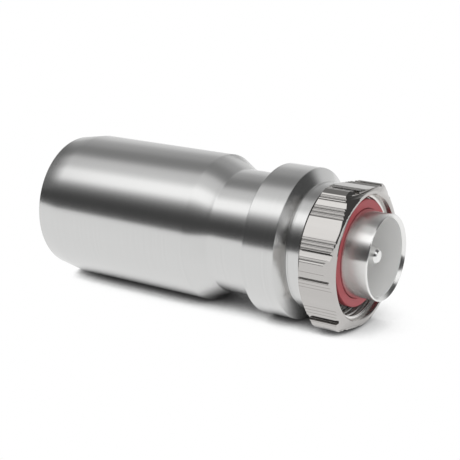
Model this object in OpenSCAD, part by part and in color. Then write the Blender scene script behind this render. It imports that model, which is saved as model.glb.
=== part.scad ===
// Large coaxial cable plug of the 7-16 size, lying on its side.
// X runs along the plug's axis, with the mating end towards +X and the cable end towards -X.
// The origin is on the axis, in the plane of the tube's front rim.

/* [Mating tube] */
// Outside diameter of the outer contact tube at its lip
tube_d = 20; // [19:0.1:21]
// Bore of the coaxial line behind the tube
line_d = 16; // [15:0.1:16.5]
// Wall of the tube behind its lip
tube_wall = 0.95; // [0.85:0.05:1.2]
// Depth of the tube's wide mouth
mouth_depth = 13; // [10:0.1:16]
// Width of the lip at the tube's front
lip_w = 1; // [0.6:0.1:1.4]
// Depth of the hollow behind the lip
hollow_depth = 0.1; // [0.1:0.05:0.4]
// Distance of the hollow's deepest point behind the rim
hollow_at = 2.4; // [2:0.1:3.6]
// Length of the tube in front of the gasket
tube_len = 6.2; // [5.5:0.1:8]
// How far the tube's root stands out beyond the lip
root_flare = 0.3; // [0.2:0.05:0.6]
// Chamfer inside the rim
rim_chamfer = 0.7; // [0.3:0.05:0.7]

/* [Centre contact] */
// Diameter of the centre contact
pin_d = 7; // [6.5:0.1:7.5]
// Distance of the contact's end behind the rim
pin_recess = 2; // [1.4:0.1:3]
// Diameter of the contact's end face
pin_tip_d = 3.6; // [3:0.1:4.4]
// Length of the contact's tapered nose
pin_nose_len = 5.5; // [4:0.1:7]
// Rounding of the contact's end face
pin_tip_round = 0.5; // [0.2:0.1:1]
// Diameter of the contact where it passes the bead
pin_neck_d = 6; // [5.4:0.1:6.2]
// Diameter of the stud that joins both halves of the contact
stud_d = 4; // [3:0.1:4.6]
// Length of that stud
stud_len = 6; // [4:0.1:7]

/* [Gasket] */
// Thickness of the interface gasket
gasket_t = 2; // [1.4:0.1:2.4]

/* [Coupling nut] */
// Nominal diameter of the coupling thread
thread_d = 29; // [28.5:0.1:30]
// Pitch of the coupling thread
thread_pitch = 1.5; // [1:0.25:1.75]
// Wall of the nut between thread and flats
nut_wall = 1.5; // [1.3:0.05:2]
// How far the turned corner ribs stand out beyond the flats
rib_rise = 2; // [1.7:0.1:2.4]
// Length of the nut
nut_len = 8.8; // [8.2:0.1:11]
// Distance of the nut's front behind the rim
nut_setback = 5; // [4:0.1:6]
// Thickness of the nut's inner lip
nut_lip_t = 1.2; // [1:0.1:1.6]
// Turn of the nut about its axis
nut_turn = 24; // [0:0.5:60]
// How far the loose nut hangs below the plug's axis
nut_drop = 0.9; // [0:0.05:1]

/* [Grip] */
// Width of the plain land in the middle of each flat
land_w = 5; // [4.4:0.1:5.4]
// Number of fine V grooves on each side of a land
fine_grooves = 3; // [2:1:3]
// Width of a fine V groove
fine_groove_w = 0.8; // [0.6:0.05:0.85]
// Depth of the fine V grooves
fine_groove_depth = 0.23; // [0.15:0.01:0.3]
// Width of a ridge between the grooves
ridge_w = 0.15; // [0.05:0.05:0.2]
// Width of the square groove beside a corner rib
groove_w = 1.45; // [1:0.05:1.5]
// Depth of the square groove before a corner rib
groove_depth = 0.75; // [0.4:0.05:0.9]
// Depth of the square groove behind a corner rib
low_groove_depth = 0.35; // [0.25:0.05:0.6]
// Width of the plain edge between the square groove and the V groove in a corner rib
rib_edge_w = 0.25; // [0.15:0.05:0.3]
// Width of the plain ring at the nut's front
nut_rim_w = 0.9; // [0.6:0.05:1.2]
// Length of the chamfer on the ribs' front ends
rib_chamfer = 1.6; // [1:0.1:2.6]
// Length of the chamfer on the ribs' rear ends
rear_chamfer = 1.3; // [0.6:0.1:2]

/* [Main body] */
// Diameter of the collar
body_d = 35.8; // [35:0.1:38]
// Diameter of the stop ring in front of the collar
stop_d = 30; // [28.5:0.1:32]
// Length of the stop ring
stop_len = 3.3; // [2:0.1:5]
// Length of the collar's conical front
collar_cone_len = 1.7; // [1:0.1:2.5]
// Length of the collar
collar_len = 8.2; // [6:0.1:12]
// Diameter of the waist
waist_d = 29.9; // [28.5:0.1:32]
// Length of the waist
waist_len = 11.4; // [8:0.1:16]
// Length of the cone between waist and sleeve
shoulder_len = 5; // [3:0.1:8]
// Length of the threaded spigot inside the sleeve
spigot_len = 14; // [12.5:0.1:18]
// Wall of the spigot around the collet
spigot_wall = 1.2; // [1:0.05:2]
// Small chamfer on turned edges
edge = 0.2; // [0.1:0.05:0.3]

/* [Insulators] */
// Distance of the bead behind the rim
bead_at = 20; // [18.5:0.1:22]
// Thickness of the bead
bead_t = 4.6; // [3.6:0.1:6]
// Rim of the bead that is held in the front body
bead_rim = 1; // [0.6:0.1:1.2]
// Thickness of the rear disc
disc_t = 3; // [2:0.1:4]

/* [Clamp sleeve] */
// Length of the clamp sleeve
sleeve_len = 45; // [43:0.1:55]
// Wall of the clamp sleeve
sleeve_wall = 1.9; // [1.6:0.05:2.4]
// Length of the tapered rear edge
taper_len = 6.7; // [4:0.1:9]
// Drop of the tapered rear edge
taper_drop = 1.1; // [0.5:0.05:1.3]
// Thickness of the sleeve's rear lip
rear_lip_t = 6; // [4:0.1:8]

/* [Collet and rings] */
// Length of the clamp collet
collet_len = 12.8; // [11:0.1:16]
// Wall of the collet's barrel
collet_wall = 1.55; // [1.2:0.05:2]
// Length of the collet's rear flange
collet_flange_t = 4; // [3:0.1:5]
// Number of slots in the collet
collet_slots = 8; // [6:1:12]
// Width of the collet's slots
slot_w = 1; // [0.6:0.1:1.5]
// Thickness of the slip ring
slip_t = 1.6; // [1:0.1:2.5]
// Thickness of the pressure ring
pressure_t = 2.3; // [1.5:0.1:3]
// Wall of the rings and of the jacket seal
seal_wall = 1.5; // [1.2:0.05:2]
// Number of sealing ridges inside the jacket seal
seal_ridges = 4; // [3:1:6]
// Depth of the grooves between the sealing ridges
seal_groove = 0.5; // [0.2:0.05:0.6]

/* [Cable that fits] */
// Diameter of the cable's jacket
jacket_d = 28; // [26:0.1:30]
// Diameter of the cable's corrugated outer conductor
corrugation_d = 25.2; // [23:0.1:26]
// Depth of the corrugation
corrugation_depth = 1.2; // [0.8:0.1:1.6]
// Outside diameter of the cable's hollow inner conductor
inner_tube_d = 9.3; // [8.6:0.1:10]
// Bore of the cable's hollow inner conductor
inner_tube_bore = 7.5; // [6.8:0.1:7.9]

/* [Seals] */
// Cross-section diameter of the O-rings
oring_d = 1.2; // [1:0.1:1.4]
// Cross-section diameter of the collet's spring ring
spring_d = 0.9; // [0.6:0.1:1]

/* [Clearances] */
// Radial clearance between pieces that move on each other
run_clear = 0.2; // [0.15:0.05:0.3]
// Radial clearance between pieces that are fixed together
seat_clear = 0.05; // [0.03:0.01:0.08]
// Radial clearance around the cable's jacket
jacket_clear = 0.3; // [0.2:0.05:0.4]
// Radial clearance around the cable's corrugation
corrugation_clear = 0.15; // [0.1:0.05:0.2]
// Radial clearance around the collet's barrel
collet_clear = 0.3; // [0.2:0.05:0.4]
// Gap between end faces that move apart
face_gap = 0.1; // [0.05:0.05:0.2]
// Clearance between the hanging nut and the journal it hangs on
hang_clear = 0.15; // [0.1:0.05:0.2]
// Gap between the nut and the stop ring
nut_gap = 0.5; // [0.3:0.1:1]

/* [Hidden] */
$fn = 96;

// Steps of a curved stretch in a turned outline
curve_steps = 8;
// Overshoot of a cut past the face it opens
past = 1;

// Colours
silver = [0.78, 0.78, 0.77];
nickel = [0.66, 0.65, 0.62];
gasket_red = [0.62, 0.16, 0.18];
contact_silver = [0.85, 0.84, 0.81];
bronze = [0.72, 0.55, 0.33];
white_plastic = [0.93, 0.93, 0.91];
seal_black = [0.08, 0.08, 0.08];
steel = [0.55, 0.56, 0.58];

// Stations are distances behind the rim, radii are named with _r
tube_r = tube_d / 2;
line_r = line_d / 2;
mouth_r = tube_r - tube_wall;
mouth_cone_len = 1;
hollow_r = tube_r - hollow_depth;
root_r = tube_r + root_flare;
pin_r = pin_d / 2;
neck_r = pin_neck_d / 2;
stud_r = stud_d / 2;

// Thread: minor radius, and the flank and crest widths of one turn
thread_r = thread_d / 2;
depth_per_pitch = 0.54;
thread_depth = depth_per_pitch * thread_pitch;
thread_minor_r = thread_r - thread_depth;
crest_w = thread_pitch / 4;
valley_w = thread_pitch / 8;
flank_w = (thread_pitch - crest_w - valley_w) / 2;

// Flange, journal and spigot of the front body
flange_clear = 0.34;
flange_t = 1.2;
lip_catch = 1.15;
shoulder_h = 0.4;
flange_r = thread_minor_r - nut_drop - flange_clear;
lip_bore_r = flange_r - lip_catch;
journal_r = lip_bore_r - nut_drop - hang_clear;
front_spigot_r = journal_r - shoulder_h;
gasket_at = tube_len;
flange_at = gasket_at + gasket_t;
journal_at = flange_at + flange_t;

// Nut
nut_front = nut_setback;
nut_rear = nut_front + nut_len;
lip_front = nut_rear - nut_lip_t;
flat_r = thread_r + nut_wall;
rib_r = flat_r + rib_rise;
rim_r = thread_r + nut_rim_w;
washer_t = 0.5;
washer_rim = 2.1;

// Main body stations
body_r = body_d / 2;
stop_r = stop_d / 2;
waist_r = waist_d / 2;
stop_at = nut_rear + nut_gap;
cone_at = stop_at + stop_len;
collar_at = cone_at + collar_cone_len;
waist_at = collar_at + collar_len;
shoulder_at = waist_at + waist_len;
spigot_at = shoulder_at + shoulder_len;
spigot_end = spigot_at + spigot_len;
undercut_w = 0.35;
undercut_depth = 0.3;

// Bead, and the step up in size of the line behind it
bead_r = line_r + bead_rim;
bead_end = bead_at + bead_t;
front_end = bead_end - face_gap;
step_lead = 2;
step_len = 4;
step_at = bead_end + step_lead;
step_end = step_at + step_len;
plug_bore_wall = 1.1;
conductor_r = inner_tube_d / 2;
valley_r = corrugation_d / 2 - corrugation_depth;
nose_back = 0.7;
nose_land = 0.4;
nose_r = valley_r - nose_back;
cavity_r = nose_r - nose_land;
seat_step = 0.4;
disc_setback = 2;
disc_at = step_end + disc_setback;
disc_end = disc_at + disc_t;

// Sleeve, collet and rings
// The sleeve's bore has room for the collet inside the spigot and for the seal around the jacket
collet_bore_r = corrugation_d / 2 + corrugation_clear;
collet_r = collet_bore_r + collet_wall;
chamber_r = collet_r + collet_clear;
entry_r = jacket_d / 2 + jacket_clear;
ring_bore_r = entry_r + run_clear;
sleeve_bore_r = max(chamber_r + spigot_wall + run_clear, ring_bore_r + seal_wall);
sleeve_r = sleeve_bore_r + sleeve_wall;
spigot_r = sleeve_bore_r - run_clear;
ring_r = sleeve_bore_r - run_clear;
seal_r = sleeve_bore_r - seat_clear;
sleeve_front = spigot_at + face_gap;
sleeve_rear = sleeve_front + sleeve_len;
lip_at = sleeve_rear - rear_lip_t;
entry_chamfer = 0.8;
chamber_depth = 9.6;
chamber_at = spigot_end - chamber_depth;
nose_len = 2.2;
nose_end = chamber_at + nose_len;
collet_play = 0.7;
collet_at = nose_end + collet_play;
collet_end = collet_at + collet_len;
collet_flange_at = collet_end - collet_flange_t;
collet_ridge_w = 2;
slot_into_flange = 1.5;
slot_len = collet_len - collet_flange_t + slot_into_flange;
slip_at = collet_end;
pressure_at = slip_at + slip_t + face_gap;
seal_at = pressure_at + pressure_t;
seal_end = lip_at;

// Slotted plug of the rear contact
plug_at = nose_end;
plug_len = 12;
plug_end = plug_at + plug_len;
plug_r = inner_tube_bore / 2 - seat_clear;
plug_bore_r = plug_r - plug_bore_wall;
plug_slot_len = 9;
plug_slot_w = 0.8;

// O-ring grooves
oring_r = oring_d / 2;
oring_room = 0.4;
groove_len = oring_d + oring_room;
front_seal_setback = 2;
front_seal_at = stop_at + front_seal_setback;
front_seal_r = front_spigot_r - oring_r;
sleeve_seal_setback = 1.2;
sleeve_seal_at = spigot_at + sleeve_seal_setback;
sleeve_seal_r = spigot_r - oring_r;
spring_r = spring_d / 2;
spring_setback = 3.5;
spring_room = 0.3;
spring_at = collet_at + spring_setback;
spring_groove_len = spring_d + spring_room;
spring_ring_r = collet_r - spring_r;

// A solid turned about the plug's axis, from an outline of [radius, station] points
module turned(outline) {
  rotate([0, -90, 0])
    rotate_extrude()
      polygon(outline);
}

// A ring with a round section, its centre at a station
module round_ring(ring_radius, section_r, station) {
  rotate([0, -90, 0])
    rotate_extrude()
      translate([ring_radius, station])
        circle(r = section_r, $fn = 32);
}

// A plain ring with square edges
module plain_ring(inner_r, outer_r, station, thickness) {
  turned([
    [inner_r, station],
    [outer_r, station],
    [outer_r, station + thickness],
    [inner_r, station + thickness]
  ]);
}

// Points of a groove for an O-ring, cut into an outside surface
function oring_groove(surface_r, ring_radius, station) = let (
  floor_r = ring_radius - oring_r - seat_clear
) [
  [surface_r, station],
  [floor_r, station],
  [floor_r, station + groove_len],
  [surface_r, station + groove_len]
];

// A smooth stretch from one radius to another, level at the lowest point
function hollow_curve(low_r, low_at, high_r, high_at, from, to) = [
  for (i = [1 : curve_steps])
    let (station = from + (to - from) * i / curve_steps)
    [low_r + (high_r - low_r) * pow((station - low_at) / (high_at - low_at), 2), station]
];

// Front body: contact tube, gasket seat, flange, journal and rear spigot
module front_body() {
  lip = [
    [mouth_r + rim_chamfer, 0],
    [tube_r - edge, 0],
    [tube_r, edge],
    [tube_r, lip_w]
  ];
  front_hollow = hollow_curve(hollow_r, hollow_at, tube_r, lip_w, lip_w, hollow_at);
  root_hollow = hollow_curve(hollow_r, hollow_at, root_r, tube_len, hollow_at, tube_len);
  rear = [
    [root_r, flange_at],
    [flange_r, flange_at],
    [flange_r, journal_at],
    [journal_r, journal_at],
    [journal_r, stop_at],
    [front_spigot_r, stop_at]
  ];
  inside = [
    [front_spigot_r, front_end],
    [bead_r, front_end],
    [bead_r, bead_at],
    [line_r, bead_at],
    [line_r, mouth_depth + mouth_cone_len],
    [mouth_r, mouth_depth],
    [mouth_r, rim_chamfer]
  ];
  seal_groove_points = oring_groove(front_spigot_r, front_seal_r, front_seal_at);
  color(contact_silver)
    turned(concat(lip, front_hollow, root_hollow, rear, seal_groove_points, inside));
}

// Main body: stop ring, collar, waist, cone shoulder and threaded spigot
module main_body() {
  bore_r = front_spigot_r + seat_clear;
  front = [
    [bore_r, stop_at],
    [stop_r - edge, stop_at],
    [stop_r, stop_at + edge],
    [stop_r, cone_at - undercut_w],
    [stop_r - undercut_depth, cone_at - undercut_w],
    [stop_r - undercut_depth, cone_at],
    [stop_r, cone_at]
  ];
  collar = [
    [body_r - edge, collar_at],
    [body_r, collar_at + edge],
    [body_r, waist_at - edge],
    [body_r - edge, waist_at]
  ];
  shoulder = [
    [waist_r, waist_at],
    [waist_r, shoulder_at],
    [sleeve_r, spigot_at],
    [spigot_r, spigot_at]
  ];
  seal_groove_points = oring_groove(spigot_r, sleeve_seal_r, sleeve_seal_at);
  spigot = [
    [spigot_r, spigot_end - edge],
    [spigot_r - edge, spigot_end],
    [chamber_r, spigot_end],
    [chamber_r, chamber_at]
  ];
  clamp_nose = [
    [nose_r + nose_len, chamber_at],
    [nose_r, nose_end],
    [cavity_r, nose_end]
  ];
  line = [
    [cavity_r, disc_at],
    [cavity_r - seat_step, disc_at],
    [cavity_r - seat_step, step_end],
    [line_r, step_at],
    [line_r, bead_end],
    [bore_r, bead_end]
  ];
  color(silver)
    turned(concat(front, collar, shoulder, seal_groove_points, spigot, clamp_nose, line));
}

// Points of a V groove in a flat of the nut, as [along the flat, height over it]
function fine_groove(start) = [
  [start, 0],
  [start + fine_groove_w / 2, -fine_groove_depth],
  [start + fine_groove_w, 0]
];

// Half of one flat of the nut, from its land to a corner rib, as [along the flat, height over it]
function half_flat(depth) = let (
  pitch = fine_groove_w + ridge_w,
  land = land_w / 2,
  groove_at = land + fine_grooves * pitch,
  rib_at = groove_at + groove_w
) concat(
  [for (i = [0 : fine_grooves - 1]) each fine_groove(land + i * pitch)],
  [
    [groove_at, 0],
    [groove_at, -depth],
    [rib_at, -depth],
    [rib_at, 0]
  ],
  fine_groove(rib_at + rib_edge_w)
);

// Outline of the nut across its axis: a hexagon with grooves in its flats
function nut_outline() = let (
  sides = 6,
  sector = 360 / sides,
  half = half_flat(groove_depth),
  mirrored = [for (i = [len(half) - 1 : -1 : 0]) [-half[i][0], half[i][1]]],
  corner = [flat_r * tan(sector / 2), 0],
  flat = concat(mirrored, half_flat(low_groove_depth), [corner])
) [
  for (side = [0 : sides - 1])
    let (turn = (side + 0.5) * sector)
    each [
      for (p = flat)
        (flat_r + p[1]) * [cos(turn), sin(turn)] + p[0] * [-sin(turn), cos(turn)]
    ]
];

// Space inside the nut: lead-in, thread and the hole in its inner lip
function nut_bore() = let (
  thread_at = nut_front + thread_depth,
  relief = 1.2,
  turns = floor((lip_front - relief - thread_at) / thread_pitch)
) concat(
  [
    [0, nut_front - past],
    [thread_r, nut_front - past],
    [thread_r, nut_front]
  ],
  [
    for (i = [0 : turns - 1])
      let (turn_at = thread_at + i * thread_pitch)
      each [
        [thread_minor_r, turn_at],
        [thread_minor_r, turn_at + crest_w],
        [thread_r, turn_at + crest_w + flank_w],
        [thread_r, turn_at + crest_w + flank_w + valley_w]
      ]
  ],
  [
    [thread_minor_r, thread_at + turns * thread_pitch],
    [thread_minor_r, lip_front - relief],
    [thread_r, lip_front - relief + flank_w],
    [thread_r, lip_front],
    [lip_bore_r, lip_front],
    [lip_bore_r, nut_rear + past],
    [0, nut_rear + past]
  ]
);

// Coupling nut: grooved hexagon with turned corner ribs, chamfered at both ends
module coupling_nut() {
  envelope = [
    [0, nut_front],
    [rim_r, nut_front],
    [rib_r, nut_front + rib_chamfer],
    [rib_r, nut_rear - rear_chamfer],
    [flat_r, nut_rear],
    [0, nut_rear]
  ];
  color(nickel)
    translate([0, 0, -nut_drop])
      difference() {
        intersection() {
          rotate([0, -90, 0])
            rotate([0, 0, -nut_turn])
              translate([0, 0, nut_front])
                linear_extrude(nut_len)
                  polygon(nut_outline());
          turned(envelope);
        }
        turned(nut_bore());
      }
}

// Slip washer in front of the nut's inner lip
module thrust_washer() {
  color(bronze)
    plain_ring(
      journal_r + run_clear,
      journal_r + washer_rim,
      lip_front - face_gap - washer_t,
      washer_t
    );
}

// Interface gasket on the root of the tube
module interface_gasket() {
  crown = 0.25;
  inner_r = root_r + seat_clear;
  color(gasket_red)
    turned([
      [inner_r, gasket_at + crown],
      [inner_r + crown, gasket_at],
      [flange_r - crown, gasket_at],
      [flange_r, gasket_at + crown],
      [flange_r, flange_at],
      [inner_r, flange_at]
    ]);
}

// Front half of the centre contact, with its nose and the stud behind the bead
module centre_pin() {
  tip_r = pin_tip_d / 2;
  stud_end = bead_end + stud_len;
  color(contact_silver)
    turned([
      [0, pin_recess],
      [tip_r - pin_tip_round, pin_recess],
      [tip_r, pin_recess + pin_tip_round],
      [pin_r, pin_recess + pin_nose_len],
      [pin_r, bead_at],
      [neck_r, bead_at],
      [neck_r, bead_end],
      [stud_r, bead_end],
      [stud_r, stud_end],
      [0, stud_end]
    ]);
}

// Rear half of the centre contact: a stepped cone and a slotted plug
module rear_contact() {
  tap_r = stud_r + seat_clear;
  tap_relief = 0.5;
  tap_end = bead_end + stud_len + tap_relief;
  plug_round = 0.6;
  color(contact_silver)
    difference() {
      turned([
        [tap_r, bead_end],
        [pin_r, bead_end],
        [pin_r, step_at],
        [conductor_r, step_end],
        [conductor_r, plug_at],
        [plug_r, plug_at],
        [plug_r, plug_end - plug_round],
        [plug_r - plug_round, plug_end],
        [plug_bore_r, plug_end],
        [plug_bore_r, plug_end - plug_slot_len],
        [0, plug_end - plug_slot_len],
        [0, tap_end],
        [tap_r, tap_end]
      ]);
      for (turn = [0, 90])
        rotate([turn, 0, 0])
          translate([-plug_end - past, -plug_slot_w / 2, -plug_r - past])
            cube([plug_slot_len + past, plug_slot_w, 2 * (plug_r + past)]);
    }
}

// Bead that carries the centre contact
module front_insulator() {
  color(white_plastic)
    plain_ring(neck_r + seat_clear, bead_r - seat_clear, bead_at, bead_t);
}

// Disc that steadies the rear contact
module rear_insulator() {
  color(white_plastic)
    plain_ring(conductor_r + seat_clear, cavity_r - seat_clear, disc_at, disc_t);
}

// O-ring between front body and main body
module front_seal() {
  color(seal_black)
    round_ring(front_seal_r, oring_r, front_seal_at + groove_len / 2);
}

// O-ring between main body and clamp sleeve
module sleeve_seal() {
  color(seal_black)
    round_ring(sleeve_seal_r, oring_r, sleeve_seal_at + groove_len / 2);
}

// Clamp sleeve: long smooth sleeve with a tapered rear edge and a rear lip
module clamp_sleeve() {
  rear_r = sleeve_r - taper_drop;
  color(silver)
    turned([
      [sleeve_bore_r, sleeve_front],
      [sleeve_r - edge / 2, sleeve_front],
      [sleeve_r, sleeve_front + edge / 2],
      [sleeve_r, sleeve_rear - taper_len],
      [rear_r + edge / 2, sleeve_rear - edge],
      [rear_r - edge, sleeve_rear],
      [entry_r + entry_chamfer, sleeve_rear],
      [entry_r, sleeve_rear - entry_chamfer],
      [entry_r, lip_at],
      [sleeve_bore_r, lip_at]
    ]);
}

// Clamp collet: slotted barrel with an inner ridge and a rear flange
module clamp_collet() {
  spring_groove_r = spring_ring_r - spring_r - seat_clear;
  color(bronze)
    difference() {
      turned([
        [valley_r, collet_at + edge],
        [valley_r + edge, collet_at],
        [collet_r - edge, collet_at],
        [collet_r, collet_at + edge],
        [collet_r, spring_at],
        [spring_groove_r, spring_at],
        [spring_groove_r, spring_at + spring_groove_len],
        [collet_r, spring_at + spring_groove_len],
        [collet_r, collet_flange_at],
        [ring_r, collet_flange_at],
        [ring_r, collet_end],
        [collet_bore_r, collet_end],
        [collet_bore_r, collet_at + collet_ridge_w],
        [valley_r, collet_at + collet_ridge_w - (collet_bore_r - valley_r)]
      ]);
      for (i = [0 : collet_slots - 1])
        rotate([i * 360 / collet_slots, 0, 0])
          translate([-collet_at - slot_len, -slot_w / 2, 0])
            cube([slot_len + past, slot_w, ring_r + past]);
    }
}

// Spring ring around the collet's fingers
module collet_spring() {
  color(steel)
    round_ring(spring_ring_r, spring_r, spring_at + spring_groove_len / 2);
}

// Slip ring behind the collet
module slip_ring() {
  color(white_plastic)
    plain_ring(ring_bore_r, ring_r, slip_at, slip_t);
}

// Pressure ring in front of the jacket seal
module pressure_ring() {
  color(bronze)
    plain_ring(ring_bore_r, ring_r, pressure_at, pressure_t);
}

// Jacket seal: thick rubber sleeve with sealing ridges inside
module jacket_seal() {
  ridge_pitch = (seal_end - seal_at) / seal_ridges;
  ridge_from = 0.3 * ridge_pitch;
  ridge_to = 0.7 * ridge_pitch;
  ridges = [
    for (i = [seal_ridges - 1 : -1 : 0])
      let (ridge_at = seal_at + i * ridge_pitch)
      each [
        [ring_bore_r, ridge_at + ridge_to],
        [ring_bore_r, ridge_at + ridge_from],
        [ring_bore_r + seal_groove, ridge_at]
      ]
  ];
  color(seal_black)
    turned(concat(
      [
        [seal_r, seal_at],
        [seal_r, seal_end],
        [ring_bore_r + seal_groove, seal_end]
      ],
      ridges
    ));
}

front_body();
main_body();
coupling_nut();
thrust_washer();
interface_gasket();
centre_pin();
rear_contact();
front_insulator();
rear_insulator();
front_seal();
sleeve_seal();
clamp_sleeve();
clamp_collet();
collet_spring();
slip_ring();
pressure_ring();
jacket_seal();
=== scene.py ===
"""Looks of the coaxial cable plug: turned bodies, grip nut, red gasket and the studio around them."""

import math

import bmesh
import bpy
from mathutils import Matrix, Vector


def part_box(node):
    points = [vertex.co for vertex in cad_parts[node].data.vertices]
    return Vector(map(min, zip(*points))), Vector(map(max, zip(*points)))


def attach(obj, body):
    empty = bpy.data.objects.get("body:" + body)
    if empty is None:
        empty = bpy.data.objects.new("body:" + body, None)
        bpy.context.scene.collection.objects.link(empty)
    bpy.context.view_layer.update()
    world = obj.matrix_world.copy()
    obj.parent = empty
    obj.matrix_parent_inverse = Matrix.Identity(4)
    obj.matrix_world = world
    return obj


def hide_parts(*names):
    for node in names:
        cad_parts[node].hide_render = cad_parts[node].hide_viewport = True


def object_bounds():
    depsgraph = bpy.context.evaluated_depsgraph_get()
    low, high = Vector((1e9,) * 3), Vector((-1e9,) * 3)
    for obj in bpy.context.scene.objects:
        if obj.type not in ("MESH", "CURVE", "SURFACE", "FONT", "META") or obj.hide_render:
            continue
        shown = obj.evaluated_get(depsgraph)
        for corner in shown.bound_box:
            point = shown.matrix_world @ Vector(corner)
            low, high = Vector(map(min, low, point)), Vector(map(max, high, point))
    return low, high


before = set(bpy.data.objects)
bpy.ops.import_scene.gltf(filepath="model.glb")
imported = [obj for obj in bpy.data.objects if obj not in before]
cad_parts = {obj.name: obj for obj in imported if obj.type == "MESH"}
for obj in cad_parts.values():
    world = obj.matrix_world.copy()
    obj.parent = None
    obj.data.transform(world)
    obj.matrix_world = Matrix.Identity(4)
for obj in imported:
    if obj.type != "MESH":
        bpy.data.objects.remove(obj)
cad_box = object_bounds()

MM = 0.001
AXIS = (1, 0, 0)
# Points closer than the first are one point, and slivers shorter than the second are closed
MERGE_DISTANCE = 0.001 * MM
SLIVER_LENGTH = 0.0001 * MM

# Turned pieces, whose edges sharper than SHARP are rounded
AROUND = 224
CURVE_STEPS = 14
SHARP = math.radians(18)
EDGE_ROUND = 0.14 * MM
EDGE_ROUND_STEPS = 3
FINE_ROUND = 0.08 * MM
GASKET_ROUND = 0.28 * MM

# Clearances; the sleeve's front is drawn up to the shoulder, from FACE_GAP to CLOSED_GAP
RUN_CLEARANCE = 0.2 * MM
SEAT_CLEARANCE = 0.05 * MM
FACE_GAP = 0.1 * MM
CLOSED_GAP = 0.01 * MM

# Front body
LIP_WIDTH = 0.3 * MM
TUBE_RADIUS = 10 * MM
MOUTH_RADIUS = 9.05 * MM
MOUTH_DEPTH = 13 * MM
MOUTH_CONE = 1 * MM
BORE_RADIUS = 8 * MM
HOLLOW_RADIUS = 9.9 * MM
HOLLOW_SETBACK = 2.4 * MM
ROOT_RADIUS = 10.3 * MM
RIM_CHAMFER = 0.7 * MM
RIM_EDGE = 0.2 * MM
FLANGE_THICKNESS = 1.2 * MM
JOURNAL_RADIUS = 10.25 * MM
SPIGOT_RADIUS = 9.85 * MM
BEAD_SEAT_RADIUS = 9 * MM
# How far over the mouth's radius a face still belongs to the bored inside
BORED_MARGIN = 0.01 * MM

# Main body
STOP_RADIUS = 15 * MM
STOP_LENGTH = 3.3 * MM
UNDERCUT_WIDTH = 0.4 * MM
UNDERCUT_DEPTH = 0.35 * MM
COLLAR_CONE = 1.7 * MM
COLLAR_LENGTH = 8.2 * MM
WAIST_RADIUS = 14.95 * MM
WAIST_LENGTH = 11.4 * MM
SHOULDER_LENGTH = 5 * MM
CHAMBER_WALL = 1.2 * MM
CAVITY_RADIUS = 10.3 * MM
NOSE_RADIUS = 10.7 * MM
NOSE_LENGTH = 2.2 * MM
CHAMBER_DEPTH = 9.6 * MM

# Clamp sleeve
SLEEVE_WALL = 1.9 * MM
TAPER_LENGTH = 6.7 * MM
TAPER_DROP = 1.1 * MM
REAR_LIP = 6 * MM
ENTRY_RADIUS = 14.3 * MM
ENTRY_CHAMFER = 0.8 * MM

# Coupling nut
NUT_SIDES = 6
NUT_TURN = math.radians(24)
NUT_DROP = Vector((0, 0, -0.9 * MM))
FLAT_RADIUS = 16 * MM
RIB_RADIUS = 18 * MM
NUT_RIM_RADIUS = 15.4 * MM
LAND_WIDTH = 5 * MM
FINE_GROOVES = 3
FINE_GROOVE_WIDTH = 0.8 * MM
FINE_GROOVE_DEPTH = 0.23 * MM
RIDGE_WIDTH = 0.15 * MM
GROOVE_WIDTH = 1.45 * MM
GROOVE_DEPTH = 0.75 * MM
LOW_GROOVE_DEPTH = 0.35 * MM
RIB_EDGE = 0.25 * MM
CORNER_STEPS = 3
RIB_CHAMFER = 1.6 * MM
REAR_CHAMFER = 1.3 * MM
NUT_LIP = 1.2 * MM
NUT_LIP_RADIUS = 11.3 * MM
RIB_ROUND = 0.05 * MM
RIB_ROUND_STEPS = 2
LONGEST_STEP = 0.6 * MM
# An edge runs along the axis if at least this share of its length does
ALONG_SHARE = 0.9
# Edges sharper than this stay sharp in the shading
SHARP_LEFT = math.radians(40)

# Thread inside the nut
THREAD_RADIUS = 14.5 * MM
THREAD_DEPTH = 0.81 * MM
THREAD_PITCH = 1.5 * MM
THREAD_CREST = 0.3 * MM
THREAD_FOOT = 1.3 * MM
THREAD_TURNS = 4
THREAD_SINK = 0.06 * MM
THREAD_START = 0.9 * MM
THREAD_LEAD = 0.2 * MM
# Steps in one turn, and steps in which the thread rises from nothing at each end
THREAD_STEPS = 120
RUN_OUT = 20

# Centre pin
PIN_RADIUS = 3.5 * MM
PIN_TIP_RADIUS = 1.8 * MM
PIN_NOSE = 5.5 * MM
PIN_TIP_ROUND = 0.5 * MM
PIN_NECK_RADIUS = 3 * MM
STUD_RADIUS = 2 * MM
STUD_LENGTH = 6 * MM
BEAD_THICKNESS = 4.6 * MM

# Rings inside the sleeve
RING_BORE_RADIUS = 14.5 * MM
SEAL_RIDGES = 4
SEAL_GROOVE = 0.5 * MM
# Where the crest of a ridge begins and ends, as shares of its pitch
SEAL_CREST = (0.3, 0.7)

# Finishes: octaves of the noise in lines and clouds, and the part of a turn that crosses the lines
LINE_DETAIL = 2.0
CLOUD_DETAIL = 3.0
QUARTER_TURN = 0.25

# Camera, from the photograph's viewing angle
CAMERA_AZIMUTH = math.radians(33.5)
CAMERA_ELEVATION = math.radians(16.74)
CAMERA_DISTANCE = 283.5 * MM
CAMERA_TARGET = Vector((-42.22 * MM, 0, -0.45 * MM))
PICTURE_WIDTH = 460
FOCAL_PIXELS = 1165.9
SENSOR_WIDTH = 36
CLIP_START = 10 * MM

# Studio
WHITE = (1, 1, 1, 1)
FLOOR_SIZE = 4.0
FLOOR_PALE = (0.93, 0.93, 0.93, 1)
# The plug's painted shade on the floor, drawn from ambient occlusion rather than cast by the lamps: how
# far it reaches, how it deepens and how fast it clears to white
SHADE_REACH = 0.15
SHADE_SAMPLES = 16
SHADE_DEPTH = 2.2
SHADE_CLEARING = 20
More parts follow.
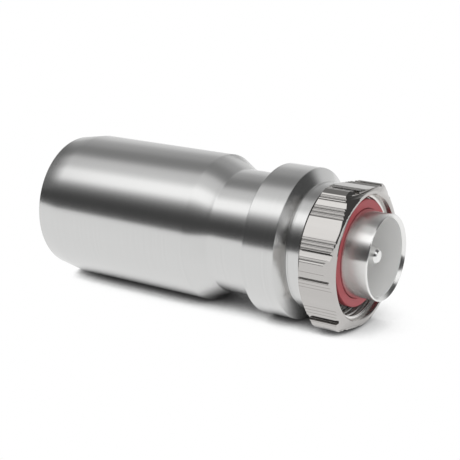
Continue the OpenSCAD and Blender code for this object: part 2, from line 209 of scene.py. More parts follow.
# A faint wider painted shade ahead of the plug: the way its occlusion is tilted, as if towards a light,
# and how fast it clears
FAR_SHADE_TILT = Vector((-0.75, -0.45, 1)).normalized()
FAR_SHADE_CLEARING = 2.1
# Even level of the light on matt surfaces
SOFT_LIGHT = 0.8
# Brightness of the studio in the metal, by the angle from straight up, positive on the camera's side
BAND_REACH = 90
STUDIO_BANDS = (
    (-90, 0.8), (-71, 0.76), (-55, 0.48), (-42, 0.416), (-31, 0.288), (-21, 0.264), (-12, 0.336),
    (-4, 0.72), (4, 0.8), (11, 0.8), (17, 1.04), (23, 1.4), (37, 1.4), (43, 0.84), (49, 0.384),
    (55, 0.192), (61, 0.096), (68, 0.064), (76, 0.064), (84, 0.104), (90, 0.16),
)
# Where the long box ends behind the plug, by the x of a direction, and the light that is left there
REAR_FROM = -0.69
REAR_END = -0.79
REAR_LIGHT = 0.16
# Where the bands give way to the front, by the x of a direction, and the light around the front's box
FRONT_FROM = 0.38
FRONT_TO = 0.58
FRONT_DARK = 0.08
# The box in front of the plug, by its slopes to the side and upwards; its near side leans outwards
FRONT_BOX_LIGHT = 1.12
FRONT_BOX_NEAR = 0.05
FRONT_BOX_LEAN = 0.8
FRONT_BOX_FAR = 0.30
FRONT_BOX_HEIGHT = (0.10, 1.15)
FRONT_BOX_EDGE = 0.12
# Least forward part of a direction, so that its slopes stay finite
LEAST_AHEAD = 0.01


def reach(node):
    """Rear end, front end and outer radius of a turned node."""
    low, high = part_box(node)
    return low.x, high.x, (high.z - low.z) / 2


def finish_piece(bm, name, material, body, *nodes):
    """Turns a bmesh into a piece that rides on a body and stands for its nodes."""
    bmesh.ops.remove_doubles(bm, verts=bm.verts, dist=MERGE_DISTANCE)
    bmesh.ops.dissolve_degenerate(bm, edges=bm.edges, dist=SLIVER_LENGTH)
    bmesh.ops.recalc_face_normals(bm, faces=bm.faces)
    mesh = bpy.data.meshes.new(name)
    bm.to_mesh(mesh)
    bm.free()
    mesh.shade_smooth()
    mesh.materials.append(material)
    piece = bpy.data.objects.new(name, mesh)
    bpy.context.scene.collection.objects.link(piece)
    shading = piece.modifiers.new("even_shading", "WEIGHTED_NORMAL")
    shading.keep_sharp = True
    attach(piece, body)
    if nodes:
        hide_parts(*nodes)
    return piece


def spun(outline, closed):
    """A bmesh turned about the plug's axis from (x, radius) points."""
    bm = bmesh.new()
    verts = [bm.verts.new((x, 0, radius)) for x, radius in outline]
    ends = verts[1:] + verts[:1] if closed else verts[1:]
    edges = [bm.edges.new(pair) for pair in zip(verts, ends)]
    bmesh.ops.spin(
        bm, geom=verts + edges, cent=(0, 0, 0), axis=AXIS,
        angle=math.tau, steps=AROUND, use_merge=True,
    )
    bmesh.ops.remove_doubles(bm, verts=bm.verts, dist=MERGE_DISTANCE)
    bmesh.ops.recalc_face_normals(bm, faces=bm.faces)
    return bm


def round_edges(bm, offset, chosen, segments=EDGE_ROUND_STEPS):
    """Bevels the chosen ones of a bmesh's sharp edges."""
    sharp = [
        edge for edge in bm.edges
        if edge.is_manifold and edge.calc_face_angle(0) > SHARP and chosen(edge)
    ]
    bmesh.ops.bevel(
        bm, geom=sharp, offset=offset, offset_type="OFFSET", segments=segments,
        profile=0.5, affect="EDGES", clamp_overlap=True, material=-1,
    )


def turned_piece(name, outline, material, body, node, closed=True, edge=EDGE_ROUND, sharp_at=None):
    """A turned piece with rounded edges, in its node's place; the edges at x = sharp_at stay sharp."""
    def rounded(corner):
        return sharp_at is None or abs(corner.verts[0].co.x - sharp_at) > MERGE_DISTANCE

    bm = spun(outline, closed)
    round_edges(bm, edge, rounded)
    return finish_piece(bm, name, material, body, node)


def swept(low, high, start, end):
    """Points of a smooth stretch from start to end, level at its low point (x, radius)."""
    points = []
    for step in range(1, CURVE_STEPS + 1):
        x = start + (end - start) * step / CURVE_STEPS
        share = (x - low[0]) / (high[0] - low[0])
        points.append((x, low[1] + (high[1] - low[1]) * share ** 2))
    return points


def refinish(piece, material, chosen):
    """Gives the faces of a piece whose middle is chosen a second finish."""
    piece.data.materials.append(material)
    for face in piece.data.polygons:
        face.material_index = int(chosen(face.center))


class Graph:
    """Nodes of a material or a world."""

    def __init__(self, owner):
        owner.use_nodes = True
        self.nodes = owner.node_tree.nodes
        self.links = owner.node_tree.links

    def add(self, kind, **settings):
        """A new node with its settings."""
        node = self.nodes.new(kind)
        for key, value in settings.items():
            setattr(node, key, value)
        return node

    def put(self, socket, value):
        """Sets a socket to a constant, or links it to an output."""
        if isinstance(value, bpy.types.NodeSocket):
            self.links.new(value, socket)
        else:
            socket.default_value = value

    def math(self, operation, first, second=0.0):
        """The result of an operation on one or two values."""
        node = self.add("ShaderNodeMath", operation=operation)
        self.put(node.inputs[0], first)
        self.put(node.inputs[1], second)
        return node.outputs["Value"]

    def parts(self, vector):
        """The x, y and z of a vector."""
        split = self.add("ShaderNodeSeparateXYZ")
        self.links.new(vector, split.inputs["Vector"])
        return split.outputs

    def spread(self, value, low, high, start=0.0, end=1.0, smooth=False):
        """A value between start and end, spread over a range."""
        node = self.add("ShaderNodeMapRange", interpolation_type="SMOOTHSTEP" if smooth else "LINEAR")
        for name, number in (("From Min", start), ("From Max", end), ("To Min", low), ("To Max", high)):
            node.inputs[name].default_value = number
        self.links.new(value, node.inputs["Value"])
        return node.outputs["Result"]

    def mixed(self, factor, first, second):
        """A number between two numbers."""
        node = self.add("ShaderNodeMix", data_type="FLOAT")
        self.put(node.inputs["Factor"], factor)
        self.put(node.inputs["A"], first)
        self.put(node.inputs["B"], second)
        return node.outputs["Result"]


class Finish(Graph):
    """A node material with the plug's own coordinates."""

    def __init__(self, name, color, roughness, metallic=1.0):
        self.material = bpy.data.materials.new(name)
        super().__init__(self.material)
        self.shader = self.nodes["Principled BSDF"]
        self.shader.inputs["Base Color"].default_value = (*color, 1)
        self.shader.inputs["Roughness"].default_value = roughness
        self.shader.inputs["Metallic"].default_value = metallic
        self.place = self.add("ShaderNodeTexCoord").outputs["Object"]

    def lathe_path(self):
        """Distance along a lathe tool's path: along the axis plus out from it."""
        x, y, z = self.parts(self.place)
        square = self.math("ADD", self.math("MULTIPLY", y, y), self.math("MULTIPLY", z, z))
        return self.math("SUBTRACT", self.math("SQRT", square), x)

    def lines(self, path, pitch):
        """Irregular lines across a path, about one pitch apart."""
        noise = self.add("ShaderNodeTexNoise", noise_dimensions="1D")
        noise.inputs["Scale"].default_value = 1 / pitch
        noise.inputs["Detail"].default_value = LINE_DETAIL
        self.links.new(path, noise.inputs["W"])
        return noise.outputs["Fac"]

    def noise(self, scale, stretch=(1, 1, 1)):
        """Noise over the place, drawn out along the axes."""
        mapping = self.add("ShaderNodeMapping")
        mapping.inputs["Scale"].default_value = stretch
        self.links.new(self.place, mapping.inputs["Vector"])
        noise = self.add("ShaderNodeTexNoise")
        noise.inputs["Scale"].default_value = scale
        noise.inputs["Detail"].default_value = CLOUD_DETAIL
        self.links.new(mapping.outputs["Vector"], noise.inputs["Vector"])
        return noise.outputs["Fac"]

    def shades(self, value, dark, light):
        """A colour between two shades."""
        node = self.add("ShaderNodeMix", data_type="RGBA")
        node.inputs["A"].default_value = (*dark, 1)
        node.inputs["B"].default_value = (*light, 1)
        self.links.new(value, node.inputs["Factor"])
        self.links.new(node.outputs["Result"], self.shader.inputs["Base Color"])

    def rough(self, value, low, high):
        """Roughness between two levels."""
        self.links.new(self.spread(value, low, high), self.shader.inputs["Roughness"])

    def bump(self, height, distance):
        """Fine relief, as high as a distance."""
        node = self.add("ShaderNodeBump")
        node.inputs["Strength"].default_value = 1.0
        node.inputs["Distance"].default_value = distance
        self.links.new(height, node.inputs["Height"])
        self.links.new(node.outputs["Normal"], self.shader.inputs["Normal"])

    def brushed(self, amount, across):
        """Drawn-out reflections: across the lathe's lines, or along the axis."""
        tangent = self.add("ShaderNodeTangent", direction_type="RADIAL", axis="X")
        self.links.new(tangent.outputs["Tangent"], self.shader.inputs["Tangent"])
        self.shader.inputs["Anisotropic"].default_value = amount
        self.shader.inputs["Anisotropic Rotation"].default_value = QUARTER_TURN if across else 0.0


def turned_silver():
    """Satin plated bodies with the fine lines of the lathe."""
    finish = Finish("turned_silver", color=(0.64, 0.64, 0.635), roughness=0.26)
    path = finish.lathe_path()
    coarse = finish.lines(path, pitch=0.55 * MM)
    fine = finish.lines(path, pitch=0.16 * MM)
    both = finish.mixed(factor=0.5, first=coarse, second=fine)
    finish.shades(coarse, dark=(0.62, 0.62, 0.615), light=(0.66, 0.66, 0.655))
    finish.rough(both, low=0.17, high=0.25)
    finish.bump(both, distance=0.001 * MM)
    finish.brushed(amount=0.45, across=True)
    return finish.material


def contact_silver():
    """Satin silver plating of the contacts."""
    finish = Finish("contact_silver", color=(0.84, 0.84, 0.83), roughness=0.21)
    path = finish.lathe_path()
    fine = finish.lines(path, pitch=0.2 * MM)
    finish.shades(finish.noise(scale=180), dark=(0.82, 0.82, 0.81), light=(0.86, 0.86, 0.85))
    finish.rough(fine, low=0.20, high=0.22)
    finish.brushed(amount=0.8, across=True)
    return finish.material


def bored_silver():
    """Matt bored inside of the tube."""
    finish = Finish("bored_silver", color=(0.98, 0.98, 0.97), roughness=0.35, metallic=0.1)
    path = finish.lathe_path()
    fine = finish.lines(path, pitch=0.2 * MM)
    finish.shades(fine, dark=(0.97, 0.97, 0.96), light=(0.99, 0.99, 0.98))
    finish.rough(fine, low=0.30, high=0.38)
    return finish.material


def bright_nickel():
    """Nickel plating of the nut, drawn along the axis."""
    finish = Finish("bright_nickel", color=(0.51, 0.495, 0.48), roughness=0.12)
    drawn = finish.noise(scale=1400, stretch=(0.02, 1, 1))
    cloud = finish.noise(scale=260, stretch=(0.1, 1, 1))
    finish.shades(cloud, dark=(0.48, 0.465, 0.45), light=(0.54, 0.525, 0.51))
    finish.rough(drawn, low=0.06, high=0.13)
    finish.bump(drawn, distance=0.002 * MM)
    finish.brushed(amount=0.3, across=False)
    return finish.material


def cut_nickel():
    """Nickel plating inside the nut, over the fine rings of the thread tool."""
    finish = Finish("cut_nickel", color=(0.80, 0.79, 0.77), roughness=0.22)
    fine = finish.lines(finish.lathe_path(), pitch=0.15 * MM)
    finish.shades(finish.noise(scale=240), dark=(0.77, 0.76, 0.74), light=(0.83, 0.82, 0.80))
    finish.rough(fine, low=0.18, high=0.27)
    return finish.material


def red_silicone():
    """Matt red silicone of the gasket."""
    finish = Finish("red_silicone", color=(0.55, 0.10, 0.115), roughness=0.5, metallic=0.0)
    cloud = finish.noise(scale=320)
    finish.shades(cloud, dark=(0.48, 0.08, 0.095), light=(0.62, 0.12, 0.135))
    finish.rough(cloud, low=0.42, high=0.56)
    finish.bump(finish.noise(scale=2600), distance=0.01 * MM)
    return finish.material


def black_rubber():
    """Black rubber of the seals."""
    finish = Finish("black_rubber", color=(0.02, 0.02, 0.02), roughness=0.6, metallic=0.0)
    grain = finish.noise(scale=2400)
    finish.shades(finish.noise(scale=200), dark=(0.016, 0.016, 0.017), light=(0.028, 0.028, 0.029))
    finish.rough(grain, low=0.5, high=0.7)
    finish.bump(grain, distance=0.01 * MM)
    return finish.material


def white_plastic():
    """White fluoroplastic of the insulators and the slip ring."""
    finish = Finish("white_plastic", color=(0.85, 0.85, 0.83), roughness=0.45, metallic=0.0)
    cloud = finish.noise(scale=250)
    finish.shades(cloud, dark=(0.80, 0.80, 0.78), light=(0.88, 0.88, 0.865))
    finish.rough(cloud, low=0.4, high=0.52)
    finish.bump(finish.lines(finish.lathe_path(), pitch=0.25 * MM), distance=0.003 * MM)
    return finish.material


def turned_bronze():
    """Bare turned bronze of the collet and the rings."""
    finish = Finish("turned_bronze", color=(0.60, 0.40, 0.20), roughness=0.3)
    fine = finish.lines(finish.lathe_path(), pitch=0.2 * MM)
    finish.shades(finish.noise(scale=220), dark=(0.55, 0.36, 0.17), light=(0.66, 0.45, 0.24))
    finish.rough(fine, low=0.24, high=0.38)
    finish.bump(fine, distance=0.003 * MM)
    return finish.material


def spring_wire():
    """Bright wire of the collet's spring ring."""
    finish = Finish("spring_wire", color=(0.40, 0.41, 0.43), roughness=0.25)
    drawn = finish.noise(scale=900)
    finish.shades(drawn, dark=(0.36, 0.37, 0.39), light=(0.45, 0.46, 0.48))
    finish.rough(drawn, low=0.2, high=0.32)
    return finish.material


SILVER = turned_silver()
CONTACT = contact_silver()
BORED = bored_silver()
NICKEL = bright_nickel()
CUT_NICKEL = cut_nickel()
RED = red_silicone()
RUBBER = black_rubber()
PLASTIC = white_plastic()
BRONZE = turned_bronze()
WIRE = spring_wire()


def front_body():
    """Contact tube with its lip and hollow, gasket seat, flange and journal."""
    rear, front, flange_radius = reach("front_body")
    gasket_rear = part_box("interface_gasket")[0].x
    gasket_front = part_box("interface_gasket")[1].x
    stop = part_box("main_body")[1].x
    bead_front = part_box("front_insulator")[1].x
    lip_rear = front - LIP_WIDTH
    hollow = (front - HOLLOW_SETBACK, HOLLOW_RADIUS)
    outline = [
        (front, MOUTH_RADIUS + RIM_CHAMFER),
        (front, TUBE_RADIUS - RIM_EDGE),
        (front - RIM_EDGE, TUBE_RADIUS),
        (lip_rear, TUBE_RADIUS),
    ]
    outline += swept(hollow, (lip_rear, TUBE_RADIUS), lip_rear, hollow[0])
    outline += swept(hollow, (gasket_front, ROOT_RADIUS), hollow[0], gasket_front)
    outline += [
        (gasket_rear, ROOT_RADIUS),
        (gasket_rear, flange_radius),
        (gasket_rear - FLANGE_THICKNESS, flange_radius),
        (gasket_rear - FLANGE_THICKNESS, JOURNAL_RADIUS),
        (stop, JOURNAL_RADIUS),
        (stop, SPIGOT_RADIUS),
        (rear, SPIGOT_RADIUS),
        (rear, BEAD_SEAT_RADIUS),
        (bead_front, BEAD_SEAT_RADIUS),
        (bead_front, BORE_RADIUS),
        (front - MOUTH_DEPTH - MOUTH_CONE, BORE_RADIUS),
        (front - MOUTH_DEPTH, MOUTH_RADIUS),
        (front - RIM_CHAMFER, MOUTH_RADIUS),
    ]
    piece = turned_piece(
        "contact_tube", outline, CONTACT, "connector_body", "front_body", edge=FINE_ROUND,
    )
    bored = MOUTH_RADIUS + BORED_MARGIN
    refinish(piece, BORED, lambda at: math.hypot(at.y, at.z) < bored and at.x > bead_front)


def main_body():
    """Stop ring, collar, waist, cone shoulder and the spigot behind it."""
    rear, front, radius = reach("main_body")
    spigot_radius = radius - SLEEVE_WALL - RUN_CLEARANCE
    chamber_radius = spigot_radius - CHAMBER_WALL
    stop_rear = front - STOP_LENGTH
    collar_front = stop_rear - COLLAR_CONE
    collar_rear = collar_front - COLLAR_LENGTH
    waist_rear = collar_rear - WAIST_LENGTH
    shoulder_rear = waist_rear - SHOULDER_LENGTH
    chamber_front = rear + CHAMBER_DEPTH
    outline = [
        (front, SPIGOT_RADIUS + SEAT_CLEARANCE),
        (front, STOP_RADIUS),
        (stop_rear + UNDERCUT_WIDTH, STOP_RADIUS),
        (stop_rear + UNDERCUT_WIDTH, STOP_RADIUS - UNDERCUT_DEPTH),
        (stop_rear, STOP_RADIUS - UNDERCUT_DEPTH),
        (collar_front, radius),
        (collar_rear, radius),
        (collar_rear, WAIST_RADIUS),
        (waist_rear, WAIST_RADIUS),
        (shoulder_rear, radius),
        (shoulder_rear, spigot_radius),
        (rear, spigot_radius),
        (rear, chamber_radius),
        (chamber_front, chamber_radius),
        (chamber_front, NOSE_RADIUS + NOSE_LENGTH),
        (chamber_front - NOSE_LENGTH, NOSE_RADIUS),
        (chamber_front - NOSE_LENGTH, CAVITY_RADIUS),
        (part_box("rear_insulator")[1].x, CAVITY_RADIUS),
        (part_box("front_insulator")[0].x, BORE_RADIUS),
        (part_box("front_insulator")[0].x, SPIGOT_RADIUS + SEAT_CLEARANCE),
    ]
    piece = turned_piece(
        "collar_and_waist", outline, SILVER, "connector_body", "main_body", sharp_at=shoulder_rear,
    )


def clamp_sleeve():
    """Long smooth sleeve with its tapered rear edge."""
    rear, front, radius = reach("clamp_sleeve")
    front += FACE_GAP - CLOSED_GAP
    inner = radius - SLEEVE_WALL
    outline = [
        (front, inner),
        (front, radius),
        (rear + TAPER_LENGTH, radius),
        (rear, radius - TAPER_DROP),
        (rear, ENTRY_RADIUS + ENTRY_CHAMFER),
        (rear + ENTRY_CHAMFER, ENTRY_RADIUS),
        (rear + REAR_LIP, ENTRY_RADIUS),
        (rear + REAR_LIP, inner),
    ]
    piece = turned_piece("long_sleeve", outline, SILVER, "sleeve", "clamp_sleeve", sharp_at=front)


def interface_gasket():
    """Red ring at the root of the tube."""
    rear, front, radius = reach("interface_gasket")
    inner = ROOT_RADIUS + SEAT_CLEARANCE
    outline = [(front, inner), (front, radius), (rear, radius), (rear, inner)]
    piece = turned_piece(
        "gasket_ring", outline, RED, "connector_body", "interface_gasket", edge=GASKET_ROUND,
    )


def centre_pin():
    """Front half of the centre contact with its tapered nose."""
    rear, front, _ = reach("centre_pin")
    bead_rear = rear + STUD_LENGTH
    bead_front = bead_rear + BEAD_THICKNESS
    outline = [
        (front, 0),
        (front, PIN_TIP_RADIUS - PIN_TIP_ROUND),
        (front - PIN_TIP_ROUND, PIN_TIP_RADIUS),
        (front - PIN_NOSE, PIN_RADIUS),
        (bead_front, PIN_RADIUS),
        (bead_front, PIN_NECK_RADIUS),
        (bead_rear, PIN_NECK_RADIUS),
        (bead_rear, STUD_RADIUS),
        (rear, STUD_RADIUS),
        (rear, 0),
    ]
    piece = turned_piece("contact_pin", outline, CONTACT, "connector_body", "centre_pin", closed=False)


def jacket_seal():
    """Thick rubber sleeve with sealing ridges inside."""
    rear, front, radius = reach("jacket_seal")
    pitch = (front - rear) / SEAL_RIDGES
    crest_start, crest_end = (share * pitch for share in SEAL_CREST)
    outline = [(front, RING_BORE_RADIUS + SEAL_GROOVE), (front, radius), (rear, radius)]
    for ridge in range(SEAL_RIDGES):
        start = rear + ridge * pitch
        outline += [
            (start, RING_BORE_RADIUS + SEAL_GROOVE),
            (start + crest_start, RING_BORE_RADIUS),
            (start + crest_end, RING_BORE_RADIUS),
        ]
    piece = turned_piece("ribbed_seal", outline, RUBBER, "sleeve", "jacket_seal")


def plain_ring(name, node, material, body, inner):
    """A ring with rounded edges."""
    rear, front, radius = reach(node)
    outline = [(front, inner), (front, radius), (rear, radius), (rear, inner)]
    piece = turned_piece(name, outline, material, body, node, edge=FINE_ROUND)


def fine_groove(start):
    """Points of a V-shaped groove in a flat, from its far side."""
    return [
        (start + FINE_GROOVE_WIDTH, 0),
        (start + FINE_GROOVE_WIDTH / 2, -FINE_GROOVE_DEPTH),
        (start, 0),
    ]


def half_flat(groove_depth):
    """Half of one flat, from the corner to its middle, as (along the flat, height over it) points."""
    pitch = FINE_GROOVE_WIDTH + RIDGE_WIDTH
    land = LAND_WIDTH / 2
    wide_groove = land + FINE_GROOVES * pitch
    rib = wide_groove + GROOVE_WIDTH
    points = [(math.sqrt(RIB_RADIUS ** 2 - FLAT_RADIUS ** 2), 0)]
    points += fine_groove(rib + RIB_EDGE)
    points += [(rib, 0), (rib, -groove_depth), (wide_groove, -groove_depth), (wide_groove, 0)]
    for groove in reversed(range(FINE_GROOVES)):
        points += fine_groove(land + groove * pitch)
    return points + [(0, 0)]


def beside_corner(groove_depth):
    """Half of one flat, as (angle from the corner, radius) points."""
    points = []
    for along, height in half_flat(groove_depth):
        angle = math.pi / NUT_SIDES - math.atan2(along, FLAT_RADIUS + height)
        points.append((angle, math.hypot(along, FLAT_RADIUS + height)))
    return points


def outline_loop(bm):
    """The nut's outline as a closed loop of edges, from one corner and the half flats beside it."""
    before = [(-angle, radius) for angle, radius in reversed(beside_corner(GROOVE_DEPTH))]
    behind = beside_corner(LOW_GROOVE_DEPTH)
    steps = range(1 - CORNER_STEPS, CORNER_STEPS)
    corner_arc = [(behind[0][0] * step / CORNER_STEPS, RIB_RADIUS) for step in steps]
    verts = []
    for angle, radius in before + corner_arc + behind:
        turn = NUT_TURN + angle
        verts.append(bm.verts.new((0, -radius * math.sin(turn), radius * math.cos(turn))))
    for pair in zip(verts, verts[1:]):
        bm.edges.new(pair)
    bmesh.ops.spin(
        bm, geom=bm.verts[:] + bm.edges[:], cent=(0, 0, 0), axis=AXIS,
        angle=math.tau, steps=NUT_SIDES, use_duplicate=True,
    )
    bmesh.ops.remove_doubles(bm, verts=bm.verts, dist=MERGE_DISTANCE)
    for edge in bm.edges[:]:
        cuts = int(edge.calc_length() / LONGEST_STEP)
        if cuts:
            bmesh.ops.subdivide_edges(bm, edges=[edge], cuts=cuts)
    return bm.edges[:]


def set_polar(vert, place):
    """Moves a vertex to the radius and x that place(radius, x) gives, at its own angle."""
    radius = math.hypot(vert.co.y, vert.co.z)
    new_radius, x = place(radius, vert.co.x)
    vert.co = (x, vert.co.y * new_radius / radius, vert.co.z * new_radius / radius)


def next_loop(bm, edges, place):
    """Extrudes a loop of edges and puts its new vertices where place(radius, x) says."""
    made = bmesh.ops.extrude_edge_only(bm, edges=edges)["geom"]
    for vert in made:
        if isinstance(vert, bmesh.types.BMVert):
            set_polar(vert, place)
    return [edge for edge in made if isinstance(edge, bmesh.types.BMEdge) and edge.is_boundary]


def ring_loop(bm, radius, x):
    """A circle of edges about the plug's axis."""
    upright = Matrix.Translation((x, 0, 0)) @ Matrix.Rotation(math.pi / 2, 4, "Y")
    made = bmesh.ops.create_circle(bm, segments=AROUND, radius=radius, matrix=upright)["verts"]
    ring = set(made)
    return [edge for edge in bm.edges if ring.issuperset(edge.verts)]


def nut_bore(rear, front):
    """Radius and x of the nut's inner edges, from its front rim through the bore to its rear rim."""
    lip_front = rear + NUT_LIP
    return [
        (THREAD_RADIUS + THREAD_LEAD, front),
        (THREAD_RADIUS, front - THREAD_LEAD),
        (THREAD_RADIUS, lip_front),
        (NUT_LIP_RADIUS, lip_front),
        (NUT_LIP_RADIUS, rear),
        (NUT_RIM_RADIUS, rear),
    ]


def runs_along(edge):
    """Whether an edge runs along the plug's axis."""
    first, second = edge.verts
    return abs(first.co.x - second.co.x) > ALONG_SHARE * edge.calc_length()


def coupling_nut():
    """Grooved hexagon with turned corner ribs, chamfered ends and an inner lip."""
    rear, front, _ = reach("coupling_nut")
    rise = RIB_RADIUS - NUT_RIM_RADIUS
    rear_slope = REAR_CHAMFER / (RIB_RADIUS - FLAT_RADIUS)
    bm = bmesh.new()
    front_end = outline_loop(bm)
    for vert in bm.verts:
        set_polar(vert, lambda r, x: (r, front - RIB_CHAMFER * (r - NUT_RIM_RADIUS) / rise))
    rear_end = next_loop(bm, front_end, lambda r, x: (r, rear + rear_slope * max(0, r - FLAT_RADIUS)))
    rim = ring_loop(bm, NUT_RIM_RADIUS, front)
    inside = rim
    for radius, x in nut_bore(rear, front):
        inside = next_loop(bm, inside, lambda r, old, radius=radius, x=x: (radius, x))
    bmesh.ops.triangle_fill(bm, edges=front_end + rim, normal=(1, 0, 0))
    bmesh.ops.triangle_fill(bm, edges=rear_end + inside, normal=(-1, 0, 0))
    bmesh.ops.recalc_face_normals(bm, faces=bm.faces)
    round_edges(bm, RIB_ROUND, runs_along, RIB_ROUND_STEPS)
    for edge in bm.edges:
        edge.smooth = edge.calc_face_angle(0) < SHARP_LEFT
    bmesh.ops.translate(bm, verts=bm.verts, vec=NUT_DROP)
    piece = finish_piece(bm, "grip_nut", NICKEL, "nut", "coupling_nut")
    cut = THREAD_RADIUS + THREAD_SINK
    refinish(piece, CUT_NICKEL, lambda at: math.hypot(at.y, at.z - NUT_DROP.z) < cut)


def nut_thread():
    """Helical thread inside the nut, easing out at both ends."""
    _, front, _ = reach("coupling_nut")
    start = front - THREAD_START
    base = THREAD_RADIUS + THREAD_SINK
    crest = THREAD_RADIUS - THREAD_DEPTH
    bm = bmesh.new()
    section = [
        (start + THREAD_FOOT / 2, base),
        (start + THREAD_CREST / 2, crest),
        (start - THREAD_CREST / 2, crest),
        (start - THREAD_FOOT / 2, base),
    ]
    verts = [bm.verts.new((x, 0, radius)) for x, radius in section]
    edges = [bm.edges.new(pair) for pair in zip(verts, verts[1:] + verts[:1])]
    steps = THREAD_TURNS * THREAD_STEPS
    bmesh.ops.spin(
        bm, geom=verts + edges, cent=(0, 0, 0), axis=AXIS, angle=math.tau * THREAD_TURNS,
        steps=steps, dvec=(-THREAD_PITCH / THREAD_STEPS, 0, 0), use_merge=False,
    )
    bm.verts.ensure_lookup_table()
    for index, vert in enumerate(bm.verts):
        step = index // len(section)
        height = min(1, (step + 1) / RUN_OUT, (steps + 1 - step) / RUN_OUT)
        set_polar(vert, lambda r, x: (base - (base - r) * height, x))
    bmesh.ops.holes_fill(bm, edges=[edge for edge in bm.edges if edge.is_boundary])
    bmesh.ops.translate(bm, verts=bm.verts, vec=NUT_DROP)
    piece = finish_piece(bm, "nut_thread", CUT_NICKEL, "nut")


def dress(node, material):
    """Gives a node that keeps its own shape a finish."""
    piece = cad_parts[node]
    piece.data.materials.clear()
    piece.data.materials.append(material)


def open_share(graph, towards=None):
    """Share of the open sky over the floor, straight up or tilted one way, for the floor's painted
    shade.
    """
    node = graph.add("ShaderNodeAmbientOcclusion", samples=SHADE_SAMPLES)
    node.inputs["Distance"].default_value = SHADE_REACH
    if towards:
        way = graph.add("ShaderNodeCombineXYZ")
        for axis, part in zip("XYZ", towards):
            way.inputs[axis].default_value = part
        graph.put(node.inputs["Normal"], way.outputs["Vector"])
    return node.outputs["AO"]


def floor_white(graph):
    """Level of the floor's glowing white, lowered where the plug's shade is painted from its occlusion.
    """
    near = graph.math("POWER", open_share(graph), SHADE_DEPTH)
    near = graph.math("MINIMUM", graph.math("MULTIPLY", near, SHADE_CLEARING), 1.0)
    far = graph.math("MULTIPLY", open_share(graph, FAR_SHADE_TILT), FAR_SHADE_CLEARING)
    far = graph.math("MINIMUM", far, 1.0)
    return graph.math("MULTIPLY", near, far)


def pale_floor():
    """Matt floor that glows white to the eye and in the metal, with the plug's shade painted into the
    glow.
    """
    material = bpy.data.materials.new("pale_floor")
    graph = Graph(material)
    graph.nodes.clear()
    matt = graph.add("ShaderNodeBsdfDiffuse")
    matt.inputs["Color"].default_value = FLOOR_PALE
    white = graph.add("ShaderNodeEmission")
    # The glow's strength carries the painted shade of the plug
    graph.put(white.inputs["Strength"], floor_white(graph))
    rays = graph.add("ShaderNodeLightPath").outputs
    looked_at = rays["Is Camera Ray"]
    for ray in ("Is Glossy Ray", "Is Transmission Ray"):
        looked_at = graph.math("MAXIMUM", looked_at, rays[ray])
    seen = graph.add("ShaderNodeMixShader")
    graph.put(seen.inputs["Fac"], looked_at)
    graph.put(seen.inputs[1], matt.outputs["BSDF"])
    graph.put(seen.inputs[2], white.outputs["Emission"])
    out = graph.add("ShaderNodeOutputMaterial")
    graph.put(out.inputs["Surface"], seen.outputs["Shader"])
    return material


def make_floor():
    """Plain pale floor under the plug."""
    bm = bmesh.new()
    bmesh.ops.create_grid(bm, x_segments=1, y_segments=1, size=FLOOR_SIZE / 2)
    bmesh.ops.translate(bm, verts=bm.verts, vec=(0, 0, cad_box[0].z))
    mesh = bpy.data.meshes.new("floor")
    bm.to_mesh(mesh)
    bm.free()
    mesh.materials.append(pale_floor())
    floor = bpy.data.objects.new("floor", mesh)
    bpy.context.scene.collection.objects.link(floor)


def side_bands(graph, x, y, z):
    """Light by the angle round the plug: a long bright box above it, and a dark side by the camera."""
    angle = graph.math("ARCTAN2", graph.math("MULTIPLY", y, -1.0), z)
    ramp = graph.add("ShaderNodeValToRGB")
    stops = ramp.color_ramp.elements
    # New stops begin in the middle, and each is then moved to its own angle
    while len(stops) < len(STUDIO_BANDS):
        stops.new(0.5)
    brightest = max(light for _, light in STUDIO_BANDS)
    for stop, (degrees, light) in zip(stops, STUDIO_BANDS):
        stop.position = (degrees + BAND_REACH) / (2 * BAND_REACH)
        level = light / brightest
        stop.color = (level, level, level, 1)
    widest = math.radians(BAND_REACH)
    graph.put(ramp.inputs["Fac"], graph.spread(angle, 0, 1, -widest, widest))
    bands = graph.math("MULTIPLY", ramp.outputs["Color"], brightest)
    past_end = graph.spread(x, 1, 0, REAR_END, REAR_FROM, smooth=True)
    return graph.mixed(past_end, bands, graph.math("MINIMUM", bands, REAR_LIGHT))


def front_box(graph, x, y, z):
    """Light of the leaning box in front of the plug, and of the dark around it."""
    ahead = graph.math("MAXIMUM", x, LEAST_AHEAD)
    aside = graph.math("DIVIDE", y, ahead)
    upwards = graph.math("DIVIDE", z, ahead)
    leaning = graph.math("ADD", aside, graph.math("MULTIPLY", upwards, FRONT_BOX_LEAN))
    lowest, highest = FRONT_BOX_HEIGHT
    inside = 1.0
    for slope, edge in ((leaning, FRONT_BOX_NEAR), (upwards, lowest)):
        entered = graph.spread(slope, 0, 1, edge, edge + FRONT_BOX_EDGE, smooth=True)
        inside = graph.math("MULTIPLY", entered, inside)
    for slope, edge in ((aside, FRONT_BOX_FAR), (upwards, highest)):
        not_left = graph.spread(slope, 1, 0, edge - FRONT_BOX_EDGE, edge, smooth=True)
        inside = graph.math("MULTIPLY", not_left, inside)
    return graph.mixed(inside, FRONT_DARK, FRONT_BOX_LIGHT)


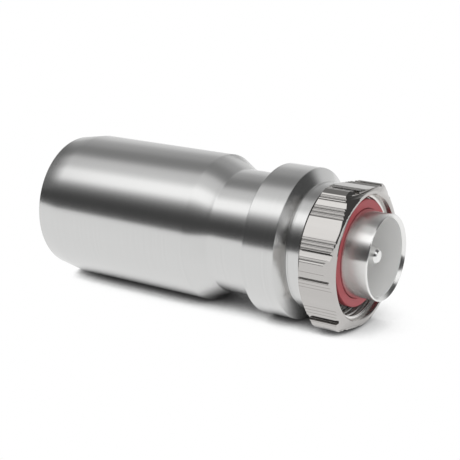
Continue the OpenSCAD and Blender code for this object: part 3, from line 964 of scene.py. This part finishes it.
def make_studio():
    """World that is even light to matt surfaces, bands and boxes to metal, and white to the camera."""
    world = bpy.data.worlds.new("studio")
    bpy.context.scene.world = world
    graph = Graph(world)
    graph.nodes.clear()
    x, y, z = graph.parts(graph.add("ShaderNodeTexCoord").outputs["Generated"])
    forward = graph.spread(x, 0, 1, FRONT_FROM, FRONT_TO, smooth=True)
    boxes = graph.mixed(forward, side_bands(graph, x, y, z), front_box(graph, x, y, z))
    rays = graph.add("ShaderNodeLightPath").outputs
    light = graph.mixed(rays["Is Glossy Ray"], SOFT_LIGHT, boxes)
    background = graph.add("ShaderNodeBackground")
    background.inputs["Color"].default_value = WHITE
    graph.put(background.inputs["Strength"], graph.mixed(rays["Is Camera Ray"], light, 1.0))
    out = graph.add("ShaderNodeOutputWorld")
    graph.put(out.inputs["Surface"], background.outputs["Background"])


def make_camera():
    """Camera at the photograph's viewing angle."""
    data = bpy.data.cameras.new("camera")
    data.sensor_fit = "HORIZONTAL"
    data.sensor_width = SENSOR_WIDTH
    data.lens = FOCAL_PIXELS * SENSOR_WIDTH / PICTURE_WIDTH
    data.clip_start = CLIP_START
    camera = bpy.data.objects.new("camera", data)
    back = Vector((
        math.sin(CAMERA_AZIMUTH) * math.cos(CAMERA_ELEVATION),
        -math.cos(CAMERA_AZIMUTH) * math.cos(CAMERA_ELEVATION),
        math.sin(CAMERA_ELEVATION),
    ))
    camera.location = CAMERA_TARGET + back * CAMERA_DISTANCE
    camera.rotation_mode = "QUATERNION"
    camera.rotation_quaternion = (-back).to_track_quat("-Z", "Y")
    bpy.context.scene.collection.objects.link(camera)
    bpy.context.scene.camera = camera


bpy.context.scene.view_settings.view_transform = "Standard"
make_camera()
make_studio()
make_floor()

front_body()
main_body()
clamp_sleeve()
interface_gasket()
centre_pin()
coupling_nut()
nut_thread()
jacket_seal()
plain_ring(
    "bead", "front_insulator", PLASTIC, "connector_body",
    PIN_NECK_RADIUS + SEAT_CLEARANCE,
)
plain_ring("pressure_disc", "pressure_ring", BRONZE, "sleeve", RING_BORE_RADIUS)
plain_ring("slip_disc", "slip_ring", PLASTIC, "clamp", RING_BORE_RADIUS)

dress("thrust_washer", BRONZE)
dress("rear_contact", CONTACT)
dress("rear_insulator", PLASTIC)
dress("front_seal", RUBBER)
dress("sleeve_seal", RUBBER)
dress("clamp_collet", BRONZE)
dress("collet_spring", WIRE)
